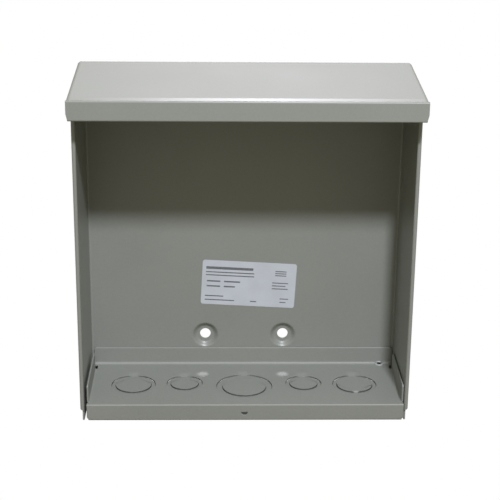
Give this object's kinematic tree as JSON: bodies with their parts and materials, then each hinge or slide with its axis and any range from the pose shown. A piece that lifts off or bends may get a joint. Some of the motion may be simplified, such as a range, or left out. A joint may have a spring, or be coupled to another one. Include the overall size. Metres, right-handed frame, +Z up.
{
  "type": "wall enclosure",
  "caption": "Open-fronted folded-steel wall enclosure with a sloping drip hood, dimpled wall-mounting holes and concentric conduit knockouts in its floor.",
  "frame": {"origin": "middle of the footprint at the height of the bottom edge", "axes": "+Z up, the open front faces -Y, +X to the viewer's right"},
  "size_m": [0.2566, 0.1028, 0.2656],
  "materials": {
    "grey_powder_coat": "semi-gloss grey powder coat with fine orange peel",
    "label_film": "satin silver-grey label film with dark printed bars"
  },
  "bodies": {
    "enclosure": {"back_and_sides": "grey_powder_coat", "drip_hood": "grey_powder_coat", "floor_pan": "grey_powder_coat", "rating_label": "label_film"},
    "ring_1": {"knockout_ring_1": "grey_powder_coat"},
    "slug_1": {"knockout_slug_1": "grey_powder_coat"},
    "ring_2": {"knockout_ring_2": "grey_powder_coat"},
    "slug_2": {"knockout_slug_2": "grey_powder_coat"},
    "ring_3": {"knockout_ring_3": "grey_powder_coat"},
    "slug_3": {"knockout_slug_3": "grey_powder_coat"},
    "ring_4": {"knockout_ring_4": "grey_powder_coat"},
    "slug_4": {"knockout_slug_4": "grey_powder_coat"},
    "ring_5": {"knockout_ring_5": "grey_powder_coat"},
    "slug_5": {"knockout_slug_5": "grey_powder_coat"}
  },
  "joints": [
    {"name": "ring_1_tab", "type": "hinge", "parent": "enclosure", "child": "ring_1", "pos_m": [-0.0879, 0.0232, 0.01215], "axis": [1, 0, 0], "range_deg": [0, 60]},
    {"name": "slug_1_tab", "type": "hinge", "parent": "ring_1", "child": "slug_1", "pos_m": [-0.0879, 0.02005, 0.0137], "axis": [-1, 0, 0], "range_deg": [0, 60]},
    {"name": "ring_2_tab", "type": "hinge", "parent": "enclosure", "child": "ring_2", "pos_m": [-0.0472, 0.0222, 0.01215], "axis": [1, 0, 0], "range_deg": [0, 60]},
    {"name": "slug_2_tab", "type": "hinge", "parent": "ring_2", "child": "slug_2", "pos_m": [-0.0472, 0.0192, 0.0137], "axis": [-1, 0, 0], "range_deg": [0, 60]},
    {"name": "ring_3_tab", "type": "hinge", "parent": "enclosure", "child": "ring_3", "pos_m": [0.0004, 0.0246, 0.01215], "axis": [1, 0, 0], "range_deg": [0, 60]},
    {"name": "slug_3_tab", "type": "hinge", "parent": "ring_3", "child": "slug_3", "pos_m": [0.0004, 0.01995, 0.0137], "axis": [-1, 0, 0], "range_deg": [0, 60]},
    {"name": "ring_4_tab", "type": "hinge", "parent": "enclosure", "child": "ring_4", "pos_m": [0.048, 0.0222, 0.01215], "axis": [1, 0, 0], "range_deg": [0, 60]},
    {"name": "slug_4_tab", "type": "hinge", "parent": "ring_4", "child": "slug_4", "pos_m": [0.048, 0.0192, 0.0137], "axis": [-1, 0, 0], "range_deg": [0, 60]},
    {"name": "ring_5_tab", "type": "hinge", "parent": "enclosure", "child": "ring_5", "pos_m": [0.0887, 0.0232, 0.01215], "axis": [1, 0, 0], "range_deg": [0, 60]},
    {"name": "slug_5_tab", "type": "hinge", "parent": "ring_5", "child": "slug_5", "pos_m": [0.0887, -0.00845, 0.0137], "axis": [1, 0, 0], "range_deg": [0, 60]}
  ]
}
